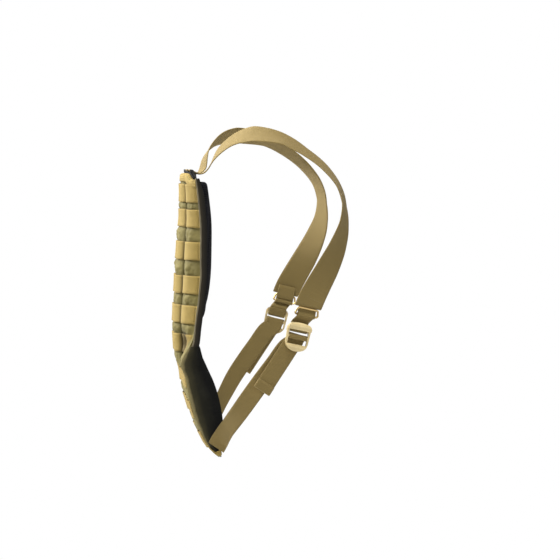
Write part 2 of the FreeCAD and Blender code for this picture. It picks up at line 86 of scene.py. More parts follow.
# ---------------------- node trees
class Nodes:
    """Short spelling for a material's shader nodes."""

    def __init__(self, name):
        self.material = bpy.data.materials.new(name)
        self.material.use_nodes = True
        self.tree = self.material.node_tree
        self.shader = self.tree.nodes["Principled BSDF"]

    def put(self, socket, value):
        if isinstance(value, bpy.types.NodeSocket):
            self.tree.links.new(value, socket)
        elif value is not None:
            socket.default_value = value

    def math(self, operation, a, b=None, c=None):
        node = self.tree.nodes.new("ShaderNodeMath")
        node.operation = operation
        for socket, value in zip(node.inputs, (a, b, c)):
            self.put(socket, value)
        return node.outputs[0]

    def spot(self, kind="UV"):
        node = self.tree.nodes.new("ShaderNodeTexCoord")
        return node.outputs[kind]

    def split(self, vector):
        node = self.tree.nodes.new("ShaderNodeSeparateXYZ")
        self.put(node.inputs[0], vector)
        return node.outputs

    def noise(self, vector, scale, detail=3.0, rough=0.55):
        node = self.tree.nodes.new("ShaderNodeTexNoise")
        self.put(node.inputs["Vector"], vector)
        node.inputs["Scale"].default_value = scale
        node.inputs["Detail"].default_value = detail
        node.inputs["Roughness"].default_value = rough
        return node.outputs[0]

    def ramp(self, value, stops):
        node = self.tree.nodes.new("ShaderNodeValToRGB")
        self.put(node.inputs[0], value)
        ramp = node.color_ramp
        while len(ramp.elements) < len(stops):
            ramp.elements.new(0.5)
        for element, (position, colour) in zip(ramp.elements, stops):
            element.position = position
            element.color = (*colour, 1.0)
        return node.outputs[0]

    def mix(self, share, a, b, blend="MIX"):
        node = self.tree.nodes.new("ShaderNodeMix")
        node.data_type = "RGBA"
        node.blend_type = blend
        self.put(node.inputs[0], share)
        for socket, value in ((node.inputs[6], a), (node.inputs[7], b)):
            self.put(socket, (*value, 1.0) if isinstance(value, tuple) else value)
        return node.outputs[2]

    def bump(self, height, distance, strength=1.0, under=None):
        node = self.tree.nodes.new("ShaderNodeBump")
        node.inputs["Strength"].default_value = strength
        node.inputs["Distance"].default_value = distance
        self.put(node.inputs["Height"], height)
        self.put(node.inputs["Normal"], under)
        return node.outputs[0]

    def crease(self):
        """Share of painted shade, 0 to 1, for places that lie low, from the mesh's own attribute if it has
        one.
        """
        node = self.tree.nodes.new("ShaderNodeAttribute")
        node.attribute_name = "valley"
        return node.outputs["Fac"]

    def finish(self, colour, rough, normal=None, sheen=0.0, shine=0.5):
        self.put(self.shader.inputs["Base Color"], colour)
        self.put(self.shader.inputs["Roughness"], rough)
        self.put(self.shader.inputs["Normal"], normal)
        self.shader.inputs["Sheen Weight"].default_value = sheen
        self.shader.inputs["Specular IOR Level"].default_value = shine
        return self.material


def weave_height(n, uv, pick, end):
    """Height of a woven face: short raised picks along the web, every other column half a pick out."""
    x, y, _ = n.split(uv)
    column = n.math("FLOOR", n.math("DIVIDE", x, end))
    shift = n.math("MULTIPLY", n.math("MODULO", column, 2.0), 0.5)
    along = n.math("SINE", n.math("MULTIPLY", n.math("ADD", n.math("DIVIDE", y, pick), shift), 2 * math.pi))
    across = n.math("SINE", n.math("MULTIPLY", n.math("DIVIDE", x, end), math.pi))
    return n.math("MULTIPLY", n.math("ABSOLUTE", across), n.math("MULTIPLY_ADD", along, 0.35, 0.65))


def plain_weave(n, thread):
    """Height of a plain weave with the given thread spacing."""
    x, y, _ = n.split(n.spot())
    warp = n.math("SINE", n.math("MULTIPLY", x, 2 * math.pi / thread))
    weft = n.math("SINE", n.math("MULTIPLY", y, 2 * math.pi / thread))
    return n.math("MULTIPLY_ADD", n.math("MULTIPLY", warp, weft), 0.5, 0.5)


def webbing(name, light, dark, pick=2.1 * MM, end=1.5 * MM):
    """Heavy woven web, with painted shade in its tacked-down valleys."""
    n = Nodes(name)
    uv = n.spot()
    height = weave_height(n, uv, pick, end)
    place = n.spot("Object")
    mottle = n.noise(place, 38.0, 4.0)
    threads = n.mix(height, dark, light)
    wear_and_painted_shade = n.mix(n.math("MULTIPLY", mottle, 0.5), threads, tuple(c * 0.6 for c in light))
    # Painted shade: near black where the mesh's valley attribute is high, in the tacked-down valleys and the
    # slumped pocket.
    wear_and_painted_shade = n.mix(n.math("MULTIPLY", n.crease(), 0.96), wear_and_painted_shade, tuple(c * 0.1 for c in dark))
    normal = n.bump(height, 0.4 * MM, 0.9)
    normal = n.bump(n.noise(place, 900.0, 2.0), 0.12 * MM, 0.5, normal)
    return n.finish(wear_and_painted_shade, 0.8, normal, 0.06, 0.14)


def cloth(name, light, dark, thread, crease=0.6):
    """Plain weave with creases, with painted shade in its tacked-down valleys."""
    n = Nodes(name)
    height = plain_weave(n, thread)
    place = n.spot("Object")
    mottle = n.noise(place, 30.0, 4.0)
    colour = n.mix(mottle, dark, light)
    colour = n.mix(n.math("MULTIPLY", height, 0.25), colour, tuple(min(1.0, c * 1.5) for c in light))
    # Painted shade: near black where the mesh's valley attribute is high, in the tacked-down valleys and the
    # slumped pocket.
    colour = n.mix(n.math("MULTIPLY", n.crease(), 0.96), colour, tuple(c * 0.12 for c in dark))
    normal = n.bump(height, 0.15 * MM, 0.5)
    normal = n.bump(n.noise(place, 70.0, 5.0, 0.6), 1.6 * MM, crease, normal)
    return n.finish(colour, 0.75, normal, 0.04, 0.12)


def painted_light_banded(name, painted_light_bands, thread, crease=0.6):
    """Cloth whose colour changes across its width, from the pouch's shell to the wearer's back; the bands
    are painted light and shade.
    """
    n = Nodes(name)
    share = n.tree.nodes.new("ShaderNodeAttribute")
    share.attribute_name = "across"
    place = n.spot("Object")
    shifted = n.math("SUBTRACT", share.outputs["Fac"], 0.08)
    waver = n.math("MULTIPLY_ADD", n.noise(place, 45.0, 3.0), 0.16, shifted)
    # Painted light and shade in bands across the width.
    colour = n.ramp(waver, painted_light_bands)
    height = plain_weave(n, thread)
    colour = n.mix(n.math("MULTIPLY", n.noise(place, 160.0, 3.0), 0.35), colour, (0.012, 0.012, 0.009))
    normal = n.bump(height, 0.2 * MM, 0.6)
    normal = n.bump(n.noise(place, 60.0, 5.0, 0.6), 1.8 * MM, crease, normal)
    return n.finish(colour, 0.75, normal, 0.02, 0.1)


def air_mesh(name):
    """Knitted mesh with rows of small holes."""
    n = Nodes(name)
    uv = n.spot()
    node = n.tree.nodes.new("ShaderNodeTexVoronoi")
    node.feature = "F1"
    node.inputs["Randomness"].default_value = 0.12
    node.inputs["Scale"].default_value = 1.0 / (2.6 * MM)
    n.put(node.inputs["Vector"], uv)
    hole = n.ramp(node.outputs["Distance"], [(0.25, (0.0, 0.0, 0.0)), (0.42, (1.0, 1.0, 1.0))])
    colour = n.mix(hole, (0.004, 0.004, 0.005), (0.022, 0.022, 0.026))
    normal = n.bump(hole, 0.5 * MM, 0.9)
    return n.finish(colour, 0.85, normal, 0.0, 0.08)


def moulded(name, light, dark):
    n = Nodes(name)
    place = n.spot("Object")
    mottle = n.noise(place, 60.0, 3.0)
    colour = n.mix(mottle, dark, light)
    normal = n.bump(n.noise(place, 500.0, 3.0), 0.08 * MM, 0.35)
    n.shader.inputs["Coat Weight"].default_value = 0.35
    n.shader.inputs["Coat Roughness"].default_value = 0.12
    return n.finish(colour, n.math("MULTIPLY_ADD", mottle, 0.15, 0.2), normal)


def bright_wire(name):
    n = Nodes(name)
    place = n.spot("Object")
    tarnish = n.noise(place, 160.0, 4.0)
    colour = n.mix(tarnish, (0.62, 0.45, 0.2), (0.42, 0.29, 0.12))
    n.shader.inputs["Metallic"].default_value = 1.0
    return n.finish(colour, n.math("MULTIPLY_ADD", tarnish, 0.2, 0.22), n.bump(tarnish, 0.1 * MM, 0.3))


def thread(name, colour):
    n = Nodes(name)
    place = n.spot("Object")
    fleck = n.noise(place, 1500.0, 2.0)
    tone = n.mix(fleck, tuple(c * 0.7 for c in colour), colour)
    return n.finish(tone, 0.7, n.bump(fleck, 0.1 * MM, 0.5), 0.05, 0.15)


TAN = (0.56, 0.405, 0.115)
TAN_DARK = (0.2, 0.135, 0.034)
STRAP = (0.4, 0.29, 0.105)
STRAP_DARK = (0.17, 0.122, 0.042)
OLIVE = (0.27, 0.225, 0.075)
OLIVE_DARK = (0.07, 0.06, 0.023)

LOOKS = {
    "shell": cloth("shell_fabric", OLIVE, OLIVE_DARK, 0.9 * MM),
    "rows": webbing("load_webbing", TAN, TAN_DARK),
    "strap": webbing("strap_webbing", STRAP, STRAP_DARK),
    # Binding: from 0 to 0.17 a painted highlight along the tape's lit edge near the shell; past it the tape
    # is near black, darkening towards the lining.
    "binding": painted_light_banded("binding_tape", [
        (0.0, (0.16, 0.135, 0.08)), (0.1, (0.24, 0.205, 0.13)), (0.17, (0.05, 0.041, 0.026)),
        (0.6, (0.022, 0.019, 0.014)), (1.0, (0.012, 0.011, 0.009)),
    ], 1.4 * MM, 0.4),
    "lining": cloth("lining_fabric", (0.02, 0.02, 0.018), (0.009, 0.009, 0.008), 0.7 * MM, 0.4),
    # Gusset: olive by the shell, falling to near black towards the wearer's back; painted shade, with the
    # far end partly the dark inner fabric's own colour.
    "gusset": painted_light_banded("gusset_fabric", [
        (0.0, (0.3, 0.25, 0.11)), (0.05, (0.26, 0.215, 0.1)), (0.12, (0.06, 0.053, 0.026)),
        (0.4, (0.017, 0.016, 0.01)), (0.75, (0.004, 0.004, 0.004)),
    ], 0.9 * MM, 0.9),
    "pad": air_mesh("pad_mesh"),
    "lock": moulded("lock_plastic", (0.84, 0.68, 0.34), (0.62, 0.47, 0.21)),
    "ring": bright_wire("ring_wire"),
    "tack": thread("tack_thread", (0.3, 0.22, 0.09)),
    "stitch": thread("stitch_thread", (0.34, 0.27, 0.13)),
}


# ---------------------- meshes
def add_piece(name, points, faces, uvs, look, body, smooth=True):
    mesh = bpy.data.meshes.new(name)
    mesh.from_pydata(points, [], faces)
    if uvs:
        layer = mesh.uv_layers.new(name="UVMap")
        for loop in mesh.loops:
            layer.data[loop.index].uv = uvs[loop.vertex_index]
    mesh.materials.append(LOOKS[look])
    mesh.polygons.foreach_set("use_smooth", [smooth] * len(mesh.polygons))
    mesh.update()
    piece = bpy.data.objects.new(name, mesh)
    link(piece)
    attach(piece, body)
    return piece


def mark(piece, name, values):
    """Stores one value per point, for the material to read."""
    layer = piece.data.attributes.new(name, "FLOAT", "POINT")
    for k, value in enumerate(values):
        layer.data[k].value = value


def sheet_values(grid, value):
    """One value per point of a sheet made by fabric(), from a function of the grid's row and column."""
    rows, columns = len(grid), len(grid[0])
    face = [value(i, j) for i in range(rows) for j in range(columns)]
    return face + face + [value(i, j) for i, j in rim_of(rows, columns)]


def rim_of(rows, columns):
    rim = [(0, j) for j in range(columns)]
    rim += [(i, columns - 1) for i in range(1, rows)]
    rim += [(rows - 1, j) for j in range(columns - 2, -1, -1)]
    return rim + [(i, 0) for i in range(rows - 2, 0, -1)]


def grid_normals(grid):
    rows, columns = len(grid), len(grid[0])
    normals = []
    for i in range(rows):
        line = []
        for j in range(columns):
            down = grid[min(i + 1, rows - 1)][j] - grid[max(i - 1, 0)][j]
            right = grid[i][min(j + 1, columns - 1)] - grid[i][max(j - 1, 0)]
            line.append(right.cross(down).normalized())
        normals.append(line)
    return normals


RIM_OUT = 0.35            # how far a sheet's rounded edge stands out, as a share of its thickness


def fabric(name, grid, thick, look, body, size):
    """A sheet of the given thickness about a grid of points, with rounded edges. size is (width, length)."""
    rows, columns = len(grid), len(grid[0])
    normals = grid_normals(grid)
    points, uvs, faces = [], [], []

    def flat_place(i, j):
        return size[0] * j / (columns - 1), size[1] * i / (rows - 1)

    for side in (0.5, -0.5):
        for i in range(rows):
            for j in range(columns):
                points.append(grid[i][j] + normals[i][j] * thick * side)
                uvs.append(flat_place(i, j))
    per_side = rows * columns
    for i in range(rows - 1):
        for j in range(columns - 1):
            a = i * columns + j
            quad = (a, a + columns, a + columns + 1, a + 1)
            faces.append(quad)
            faces.append(tuple(per_side + k for k in reversed(quad)))
    rim = rim_of(rows, columns)
    first = len(points)
    for i, j in rim:
        inner_i = min(max(i, 1), rows - 2)
        inner_j = min(max(j, 1), columns - 2)
        outward = grid[i][j] - grid[inner_i][inner_j]
        outward -= normals[i][j] * outward.dot(normals[i][j])
        points.append(grid[i][j] + outward.normalized() * thick * RIM_OUT)
        uvs.append(flat_place(i, j))
    count = len(rim)
    for k, (i, j) in enumerate(rim):
        following = (k + 1) % count
        a = i * columns + j
        b = rim[following][0] * columns + rim[following][1]
        faces.append((a, b, first + following, first + k))
        faces.append((first + k, first + following, per_side + b, per_side + a))
    return add_piece(name, points, faces, uvs, look, body)


def grid_length(grid):
    """Length of a sheet along its grid's first column."""
    return sum((b[0] - a[0]).length for a, b in zip(grid, grid[1:]))


def stands_for(node):
    """Hides the CAD node that a sheet takes the place of."""
    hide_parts(node)


def turn_weave(piece):
    """Turns a piece's weave by a right angle, so that the web runs across its grid."""
    for corner in piece.data.uv_layers[0].data:
        corner.uv = (corner.uv[1], corner.uv[0])


def wobble(point, scale, seed=0.0):
    """Smooth noise from -1 to 1 that changes over about scale."""
    return noise.noise(point / scale + Vector((seed, seed * 0.7, -seed)))


def skin(name):
    """Surface of a CAD node, for rays to meet."""
    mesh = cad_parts[name].data
    corners = [v.co.copy() for v in mesh.vertices]
    return BVHTree.FromPolygons(corners, [tuple(p.vertices) for p in mesh.polygons])


BEHIND, BEFORE = -400 * MM, 200 * MM  # X well behind the pouch, and well in front of its pad


def face_x(tree, y, z, start, way):
    """X of the first face met from start along way (1 or -1), at this y and z."""
    hit = tree.ray_cast(Vector((start, y, z)), Vector((way, 0, 0)))[0]
    return hit.x if hit else None


SHELL, PANEL, PAD = skin("outer_shell"), skin("inner_panel"), skin("back_pad")
shell_low, shell_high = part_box("outer_shell")
panel_low, panel_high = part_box("inner_panel")
pad_low, pad_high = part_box("back_pad")
HALF = shell_high[1]
ROW_BOXES = [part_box(f"webbing_row_{k}") for k in range(1, 10)]
COLUMNS = 4
GRID_HALF = ROW_BOXES[0][1][1]
PITCH = 2 * GRID_HALF / COLUMNS


def inside(value, low, high, margin=0.2 * MM):
    return min(max(value, low + margin), high - margin)


def shell_x(y, z):
    y = inside(y, -HALF, HALF)
    return face_x(SHELL, y, inside(z, shell_low[2], shell_high[2]), BEHIND, 1)


def panel_front_x(y, z):
    y = inside(y, -HALF, HALF)
    return face_x(PANEL, y, inside(z, panel_low[2], panel_high[2]), BEFORE, -1)


def between(a, b, share):
    return a + (b - a) * share


def spread(a, b, count):
    return [between(a, b, k / (count - 1)) for k in range(count)]


def clamped(share):
    return min(1.0, max(0.0, share))


def bell(distance, width):
    """1 at no distance, fading to almost 0 at twice the width."""
    return math.exp(-((distance / width) ** 2))


def column_share(y):
    """0 on a column line of the load webbing and outside the grid, 1 in the middle of a loop."""
    return abs(math.sin(math.pi * (y + GRID_HALF) / PITCH)) if abs(y) < GRID_HALF else 0.0


def gap_share(z):
    """0 under a row of load webbing, 1 in the middle of the fabric between two rows."""
    for above, below in zip(ROW_BOXES, ROW_BOXES[1:]):
        top, bottom = above[0][2], below[1][2]
        if bottom < z < top:
            return math.sin(math.pi * (z - bottom) / (top - bottom))
    return 0.0


def outward(y, z):
    """Outward direction of the shell, whose slope isn't followed close to its edges."""
    step = 2 * MM
    dy = dz = 0
    if abs(y) < HALF - 2 * step:
        dy = (shell_x(y + step, z) - shell_x(y - step, z)) / (2 * step)
    if shell_low[2] + 2 * step < z < shell_high[2] - 2 * step:
        dz = (shell_x(y, z + step) - shell_x(y, z - step)) / (2 * step)
    return Vector((-1, dy, dz)).normalized()


# ---------------------- pouch
VALLEY_WIDE = 3.8 * MM
LOOP_CURVE = 0.8          # below 1, so that loops rise steeply from their tacks
# Heights and depths chosen to match the photo's side view. Places across the back are guesses.
SLUMP_Y, SLUMP_Z = 52 * MM, -296 * MM
SLUMP_WIDE, SLUMP_TALL, SLUMP_DEEP = 12 * MM, 16 * MM, 12.5 * MM
FOLD_Z, FOLD_ABOVE, FOLD_BELOW, FOLD_OUT = -320 * MM, 30 * MM, 15 * MM, 9.0 * MM
TIGHT_FROM, TIGHT_FADE = -310 * MM, 30 * MM
DROOP_FROM, DROOP_FADE, DROOP_DEEP = 42 * MM, 22 * MM, 8.5 * MM


def valley(y):
    """1 on the column lines of the load webbing, fading out beside them."""
    nearest = round((y + GRID_HALF) / PITCH) * PITCH - GRID_HALF
    inner = abs(nearest) < GRID_HALF - PITCH / 2
    return bell(y - nearest, VALLEY_WIDE) if inner else 0.0


def slump(y, z):
    """How far the shell sinks in below the fifth row, where the pouch folds towards its gusset."""
    return bell(z - SLUMP_Z, SLUMP_TALL) * bell(abs(y) - SLUMP_Y, SLUMP_WIDE) * SLUMP_DEEP


def shade(y, z):
    """Painted shade on the shell and rows, 0 to 1: 1 on the column lines, up to 0.8 where the shell slumps.
    """
    return max(valley(y), min(0.8, slump(y, z) / (8 * MM)))


def corner_fold(z):
    """How far the gusset's top corner stands out behind the pouch, as a fold."""
    return FOLD_OUT * bell(z - FOLD_Z, FOLD_ABOVE if z > FOLD_Z else FOLD_BELOW)


def relief(z):
    """How loosely the loops stand off the shell: less on the lower rows, which are pulled tight."""
    return between(1.0, 0.5, clamped((TIGHT_FROM - z) / TIGHT_FADE))


def droop(y):
    """How far the mouth's corners hang below its middle."""
    return DROOP_DEEP * clamped((abs(y) - DROOP_FROM) / DROOP_FADE) ** 1.5


def make_shell():
    """Shell fabric: it bulges under each loop, crumples between the rows and folds at the gusset."""
    grid, ys = [], spread(-HALF, HALF, 129)
    top = shell_high[2]
    for z0 in spread(top, shell_low[2], 250):
        line = []
        for y in ys:
            z = z0 - droop(y) * max(0.0, 1 - (top - z0) / (60 * MM))
            base = Vector((shell_x(y, z), y, z))
            gap, loop = gap_share(z), column_share(y)
            crumple = wobble(base, 13 * MM) + 0.9 * abs(wobble(base, 6 * MM, 3.0))
            rumpled = 0.3 + 1.5 * loop + (0.6 + 2.2 * loop) * crumple
            puff = relief(z) * (4.7 * loop**LOOP_CURVE + gap**0.7 * rumpled)
            edge = min(1.0, (HALF - abs(y)) / (5 * MM))
            sunk = 1.6 * valley(y) + slump(y, z) / MM
            fold = Vector((-1, 0, 0)) * corner_fold(z) * max(0.0, (abs(y) - 60 * MM) / (20 * MM))
            line.append(base + outward(y, z) * ((puff * edge - 0.9) - sunk) * MM + fold)
        grid.append(line)
    size = (2 * HALF, 420 * MM)
    piece = fabric("shell_fabric", grid, 1.5 * MM, "shell", HARNESS, size)
    # Painted shade for the shell's material, stored in the valley attribute.
    mark(piece, "valley", sheet_values(grid, lambda i, j: shade(ys[j], grid[i][j].z)))
    stands_for("outer_shell")


def make_rows():
    """Nine rows of load webbing, each in loops between the column lines."""
    ys = spread(-HALF + 0.4 * MM, HALF - 0.4 * MM, 129)
    size = (2 * HALF, 25.4 * MM)
    for k, (low, high) in enumerate(ROW_BOXES):
        grid = []
        for t in spread(0.0, 1.0, 11):
            z = between(high[2], low[2], t)
            line = []
            for y in ys:
                loop = column_share(y)
                base = Vector((shell_x(y, z), y, z))
                slack = 1.0 + 0.15 * wobble(Vector((0, y, k * 0.05)), 30 * MM, k)
                curl = 0.35 * (2 * t - 1) ** 2 * loop
                lift = 0.7 + relief(z) * 6.0 * slack * loop**LOOP_CURVE - 0.9 * valley(y) + curl
                sway = 0.8 * wobble(Vector((k * 0.1, y, 0)), 24 * MM, 9.0 + k) * MM
                line.append(base + outward(y, z) * (lift * MM - slump(y, z)) + Vector((0, 0, sway)))
            grid.append(line)
        piece = fabric(f"load_row_{k + 1}", grid, 1.3 * MM, "rows", HARNESS, size)
        turn_weave(piece)
        # Painted shade for the row's material, stored in the valley attribute.
        mark(piece, "valley", sheet_values(grid, lambda i, j: shade(ys[j], grid[i][j].z)))
        stands_for(f"webbing_row_{k + 1}")


def capsule(points, faces, start, end, radius, sides=6):
    """Adds a short stitch of thread from start to end, thinner at both."""
    way = (end - start).normalized()
    side = way.orthogonal().normalized()
    up = way.cross(side)
    first = len(points)
    near, far = between(start, end, 0.2), between(start, end, 0.8)
    for centre, r in ((start, 0.3), (near, 1.0), (far, 1.0), (end, 0.3)):
        for s in range(sides):
            angle = 2 * math.pi * s / sides
            points.append(centre + (side * math.cos(angle) + up * math.sin(angle)) * radius * r)
    for ring in range(3):
        for s in range(sides):
            a, b = first + ring * sides + s, first + ring * sides + (s + 1) % sides
            faces.append((a, b, b + sides, a + sides))
    faces.append(tuple(first + s for s in reversed(range(sides))))
    faces.append(tuple(first + 3 * sides + s for s in range(sides)))


STITCH_LONG, STITCH_PITCH, STITCH_RADIUS = 2.2 * MM, 3.1 * MM, 0.27 * MM
STITCHES = {}             # points and faces of all stitches, by body


def sew(body, grid, row, thick):
    """A line of stitches along one row of a sheet's grid, showing on both faces."""
    points, faces = STITCHES.setdefault(body, ([], []))
    line, normals = grid[row], grid_normals(grid)[row]
    travelled, following = 0.0, 1.5 * MM
    for k in range(len(line) - 1):
        span = (line[k + 1] - line[k]).length
        while span and following + STITCH_LONG < travelled + span:
            start = line[k].lerp(line[k + 1], max(0.0, (following - travelled) / span))
            end = line[k].lerp(line[k + 1], (following + STITCH_LONG - travelled) / span)
            for face in (1, -1):
                off = normals[k] * face * (thick / 2 + 0.1 * MM)
                capsule(points, faces, start + off, end + off, STITCH_RADIUS, 5)
            following += STITCH_PITCH
        travelled += span
        following = max(following, travelled + 0.2 * MM)


def make_stitches():
    """Each body's stitches as one piece, once every sheet is sewn."""
    for body, (points, faces) in STITCHES.items():
        piece = add_piece(f"stitches_{body}", points, faces, None, "stitch", body)


def make_tacks():
    """Bar tacks that hold the rows down on each column line."""
    points, faces = [], []
    for low, high in ROW_BOXES:
        for column in range(COLUMNS + 1):
            y = -GRID_HALF + PITCH * column
            top, bottom = high[2] - 2 * MM, low[2] + 2 * MM
            for t in spread(0.0, 1.0, 22):
                z = between(top, bottom, t)
                out = outward(y, z)
                centre = Vector((shell_x(y, z), y, z)) + out * (0.6 * MM - slump(y, z))
                if column in (0, COLUMNS):
                    centre += out * 0.9 * MM
                across = Vector((0, 1.1 * MM, 0))
                capsule(points, faces, centre - across, centre + across, 0.34 * MM, 5)
    piece = add_piece("bar_tacks", points, faces, None, "tack", HARNESS)


def make_mouth_tape():
    """Tape folded over the mouth edge of the shell."""
    top = shell_high[2]
    profile = [(-2.0, -10.0), (-2.1, -8.5), (-2.1, -5.0), (-1.9, -1.0), (-1.1, 0.6), (0.4, 1.0), (1.6, 0.4),
               (1.9, -2.0), (1.9, -5.0)]
    grid = []
    for x, z in profile:
        line = []
        for y in spread(-HALF, HALF, 81):
            height = top - droop(y) + z * MM
            base = Vector((shell_x(y, height), y, height))
            bulge = column_share(y) ** 0.5 * 1.6 * max(0.0, -x)
            sway = wobble(Vector((0, y, 0)), 20 * MM)
            line.append(base + Vector(((x - bulge + 0.5 * sway) * MM, 0, 0.5 * MM * sway)))
        grid.append(line)
    size, thick = (2 * HALF, 20 * MM), 1.0 * MM
    piece = fabric("mouth_binding", grid, thick, "rows", HARNESS, size)
    sew(HARNESS, grid, 1, thick)
    turn_weave(piece)
    stands_for("mouth_tape")


def make_panel():
    """Inner lining. Its top sinks under the two straps and leans back over the mouth at its corners."""
    grid = []
    for t in spread(0.0, 1.0, 140):
        line = []
        for y in spread(HALF, -HALF, 81):
            under_strap = math.exp(-(((abs(y) - 45 * MM) / (19 * MM)) ** 4))
            corner = max(0.0, (abs(y) - 58 * MM) / (22 * MM))
            top = panel_high[2] - 5.5 * MM * under_strap + 1.5 * MM * corner
            z = between(top, panel_low[2], t)
            near_top = bell(panel_high[2] - z, 12 * MM) if z < panel_high[2] else 1.0
            base = Vector((panel_front_x(y, z), y, z))
            slack = 1.0 if z < pad_low[2] - 10 * MM else 0.0
            lean = 11.0 * min(1.0, corner) * near_top * (1 + 0.4 * wobble(Vector((0, y, 0)), 14 * MM, 1.0))
            billow = 1.3 * MM * slack * wobble(base, 24 * MM, 5.0)
            line.append(base - Vector((0.9 * MM - billow + lean * MM, 0, 0)))
        grid.append(line)
    size = (2 * HALF, 430 * MM)
    piece = fabric("inner_lining", grid, 1.6 * MM, "lining", HARNESS, size)
    stands_for("inner_panel")


def pad_faces(y, z):
    """Rear and front X of the pad."""
    y, z = inside(y, pad_low[1], pad_high[1]), inside(z, pad_low[2], pad_high[2])
    return face_x(PAD, y, z, BEHIND, 1), face_x(PAD, y, z, BEFORE, -1)


def filled(piece, voxel, cap):
    """Cloth recipe for a padded piece: it swells under pressure, no point moving further than cap."""
    scene = bpy.context.scene
    work = bpy.data.objects.new(piece.name + "_work", piece.data.copy())
    scene.collection.objects.link(work)
    remesh = work.modifiers.new("remesh", "REMESH")
    remesh.mode = "VOXEL"
    remesh.voxel_size = voxel
    bpy.context.view_layer.update()
    graph = bpy.context.evaluated_depsgraph_get()
    even = bpy.data.meshes.new_from_object(work.evaluated_get(graph))
    work.modifiers.remove(remesh)
    work.data = even
    start = [v.co.copy() for v in even.vertices]
    cloth_modifier = work.modifiers.new("cloth", "CLOTH")
    settings = cloth_modifier.settings
    settings.use_pressure = True
    settings.uniform_pressure_force = 4.0
    settings.effector_weights.gravity = 0.0
    for k in range(1, 21):
        scene.frame_set(k)
    graph = bpy.context.evaluated_depsgraph_get()
    swollen = [v.co.copy() for v in work.evaluated_get(graph).data.vertices]
    scene.frame_set(1)
    work.modifiers.remove(cloth_modifier)
    for vertex, before, after in zip(even.vertices, start, swollen):
        move = after - before
        vertex.co = before + move * min(1.0, cap / max(move.length, 1e-9))
    finer = work.modifiers.new("finer", "SUBSURF")
    finer.levels = 1
    bpy.context.view_layer.update()
    graph = bpy.context.evaluated_depsgraph_get()
    result = bpy.data.meshes.new_from_object(work.evaluated_get(graph))
    bpy.data.objects.remove(work)
    result.materials.clear()
    result.materials.append(LOOKS["pad"])
    result.polygons.foreach_set("use_smooth", [True] * len(result.polygons))
    layer = result.uv_layers.new(name="UVMap")
    for loop in result.loops:
        place = result.vertices[loop.vertex_index].co
        layer.data[loop.index].uv = (place.y, place.z)
    piece.data = result


def make_pad():
    """Padded mesh cushion: started a little small, swollen by Cloth, with two channels sewn in its front."""
    margin = 1.5 * MM
    reach = pad_high[1] - margin
    top, bottom = pad_high[2] - margin, pad_low[2] + margin
    points, faces, uvs = [], [], []
    rows, columns = 70, 44
    for front_side in (True, False):
        for z in spread(top, bottom, rows):
            for y in spread(reach, -reach, columns):
                rear, front = pad_faces(y, z)
                near_edge = min(reach - abs(y), top - z, z - bottom)
                roundness = math.sqrt(max(0.0, 1 - (1 - min(1.0, near_edge / (7 * MM))) ** 2))
                middle = between(rear, front, 0.5)
                x = between(middle, front if front_side else rear, (0.15 + 0.65 * roundness))
                points.append(Vector((x, y, z)))
                uvs.append((y, z))
    per_side = rows * columns
    for i in range(rows - 1):
        for j in range(columns - 1):
            a = i * columns + j
            quad = (a, a + 1, a + columns + 1, a + columns)
            faces.append(tuple(reversed(quad)))
            faces.append(tuple(per_side + k for k in quad))
    flat = [i * columns + j for i, j in rim_of(rows, columns)]
    for a, b in zip(flat, flat[1:] + flat[:1]):
        faces.append((a, b, per_side + b, per_side + a))
    piece = add_piece("back_cushion", points, faces, uvs, "pad", HARNESS)
    filled(piece, 5 * MM, 2.5 * MM)
    channels = (-0.36 * reach, 0.36 * reach)
    for vertex in piece.data.vertices:
        rear, front = pad_faces(vertex.co.y, vertex.co.z)
        share = (vertex.co.x - rear) / (front - rear)
        if share > 0.5:
            channel = sum(bell(vertex.co.y - line_y, 2.2 * MM) for line_y in channels)
            vertex.co.x -= (front - rear) * (share - 0.5) * 0.7 * min(1.0, channel)
    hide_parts("back_pad")


def mirrored(points):
    return [Vector((p.x, -p.y, p.z)) for p in points]


def side_faces(name, z):
    """Rear and front X of a side strip at this height."""
    low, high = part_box(name)
    tree, middle_y, z = skin_of(name), (low[1] + high[1]) / 2, inside(z, low[2], high[2])
    return face_x(tree, middle_y, z, BEHIND, 1), face_x(tree, middle_y, z, BEFORE, -1)


SKINS = {}


def skin_of(name):
    if name not in SKINS:
        SKINS[name] = skin(name)
    return SKINS[name]


def make_edge_binding(side, hand):
    """Tape closed over the pouch's edge, from the shell's face to the lining's."""
    name = f"edge_binding_{hand}"
    low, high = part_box(name)
    outside = low[1] if side < 0 else high[1]
    profile = [(0.0, 0.3), (-0.03, 0.8), (0.03, 1.15), (0.14, 1.25), (0.24, 1.05), (0.34, 0.9), (0.6, 1.0),
               (0.85, 0.95), (1.0, 0.75), (1.0, 0.3)]
    grid = []
    for z in spread(high[2] - droop(HALF) * 0.7, low[2], 110):
        rear, front = side_faces(name, z)
        wave = 0.6 * MM * wobble(Vector((0, 0, z)), 22 * MM, 2.0 + side)
        fade = min(1.0, 0.45 + 0.55 * (high[2] - z) / (30 * MM))
        line = []
        for share, out in profile:
            y = between(side * HALF, outside, out)
            line.append(Vector((between(rear, front, share * fade) + wave, y, z)))
        grid.append(line if side > 0 else line[::-1])
    shares = [max(0.0, share) for share, _ in profile]
    if side < 0:
        shares = shares[::-1]
    size = (13 * MM, high[2] - low[2])
    piece = fabric(f"edge_tape_{hand}", grid, 0.9 * MM, "binding", HARNESS, size)
    # The share across the tape picks its painted highlight and shade from the binding's bands.
    mark(piece, "across", sheet_values(grid, lambda i, j: shares[j]))
    stands_for(name)


